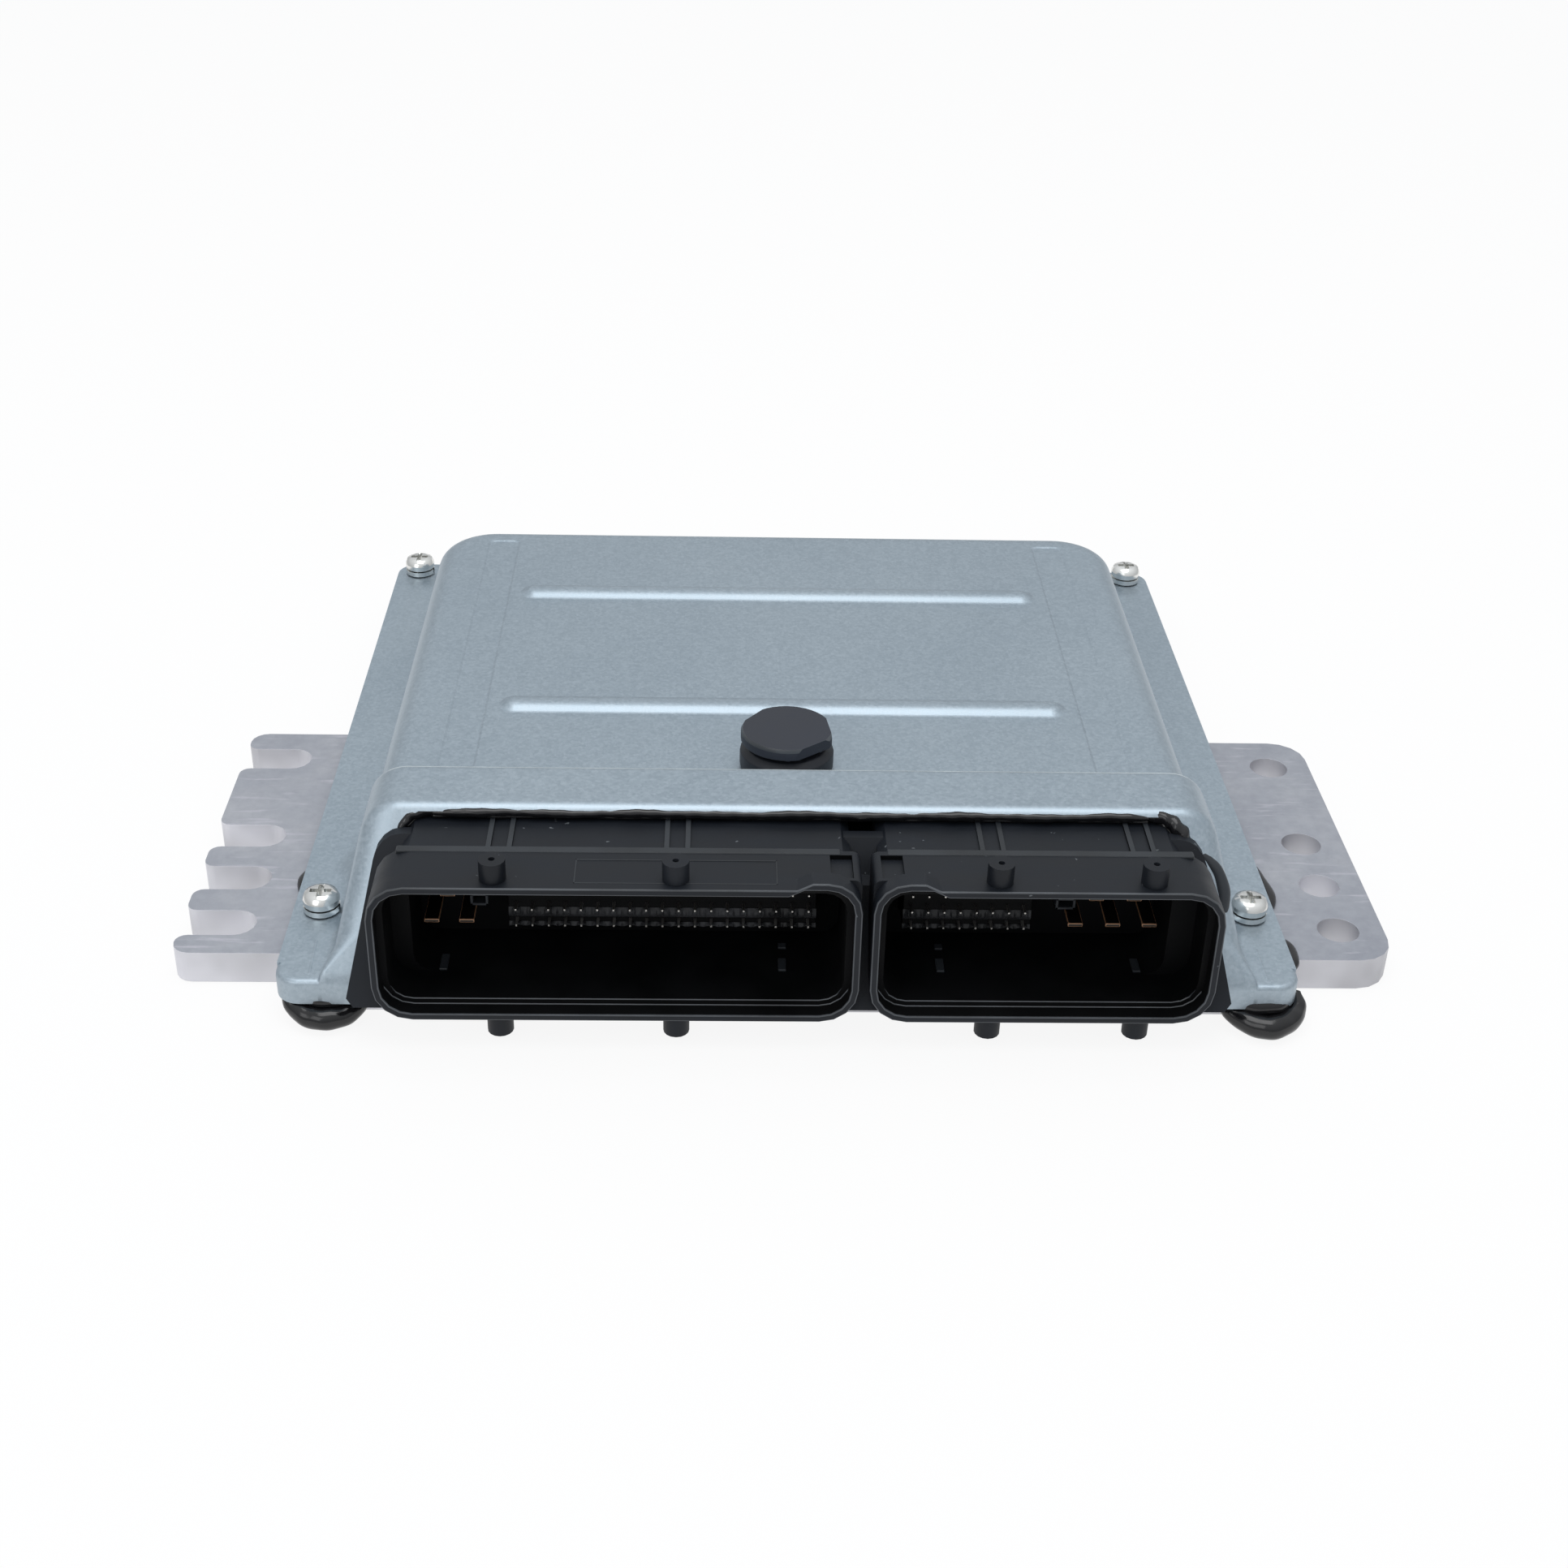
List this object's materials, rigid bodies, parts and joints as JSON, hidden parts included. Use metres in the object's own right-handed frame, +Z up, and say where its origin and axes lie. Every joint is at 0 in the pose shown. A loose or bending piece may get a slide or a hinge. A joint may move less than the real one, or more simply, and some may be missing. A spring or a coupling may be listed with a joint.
{
  "type": "engine control unit",
  "caption": "Engine control unit: die-cast base with slotted and drilled mounting wings, pressed cover with a raised hood, two-bay pin header and a breather.",
  "frame": {"origin": "middle of the bounding box, on the flat underside", "axes": "+X along the connector, towards the wing with round holes; +Y from the connector towards the back; +Z up, out of the cover"},
  "size_m": [0.233, 0.1836, 0.039],
  "materials": {
    "cast_aluminium": "as cast, matt",
    "zinc_sheet": "zinc coated, fine grain",
    "black_moulding": "fine moulded texture",
    "grey_moulding": "satin",
    "soft_rubber": "matt",
    "breather_film": "felted",
    "black_sealant": "glossy",
    "board_laminate": "coated",
    "chip_body": "matt",
    "metal_can": "satin",
    "ferrite": "matt",
    "thermal_pad": "soft, matt",
    "bright_zinc": "bright zinc",
    "tinned_contact": "tinned"
  },
  "bodies": {
    "root": {"base_casting": "cast_aluminium", "board_screw_front_left": "bright_zinc", "board_screw_front_right": "bright_zinc", "board_screw_rear_left": "bright_zinc", "board_screw_rear_right": "bright_zinc", "breather_body": "grey_moulding", "breather_cap": "grey_moulding", "breather_film": "breather_film", "breather_seal": "soft_rubber", "capacitor_1": "metal_can", "capacitor_2": "metal_can", "capacitor_3": "metal_can", "circuit_board": "board_laminate", "clock_crystal": "metal_can", "connector_housing": "black_moulding", "contact_carrier_left": "black_moulding", "contact_carrier_right": "black_moulding", "cover": "zinc_sheet", "cover_screw_front_left": "bright_zinc", "cover_screw_front_right": "bright_zinc", "cover_screw_rear_left": "bright_zinc", "cover_screw_rear_right": "bright_zinc", "heat_pad": "thermal_pad", "ignition_driver": "chip_body", "injector_driver": "chip_body", "input_choke": "ferrite", "microcontroller": "chip_body", "power_blade_left_1": "tinned_contact", "power_blade_left_2": "tinned_contact", "power_blade_left_3": "tinned_contact", "power_blade_left_4": "tinned_contact", "power_blade_left_5": "tinned_contact", "power_blade_right_1": "tinned_contact", "power_blade_right_2": "tinned_contact", "power_blade_right_3": "tinned_contact", "power_blade_right_4": "tinned_contact", "power_blade_right_5": "tinned_contact", "power_blade_right_6": "tinned_contact", "power_blade_right_7": "tinned_contact", "power_blade_right_8": "tinned_contact", "pressure_sensor": "chip_body", "sealant_connector": "black_sealant", "sealant_corner_left": "black_sealant", "sealant_corner_right": "black_sealant", "sealant_rim": "black_sealant", "spring_washer_front_left": "bright_zinc", "spring_washer_front_right": "bright_zinc", "spring_washer_rear_left": "bright_zinc", "spring_washer_rear_right": "bright_zinc", "voltage_regulator": "chip_body"}
  },
  "joints": []
}
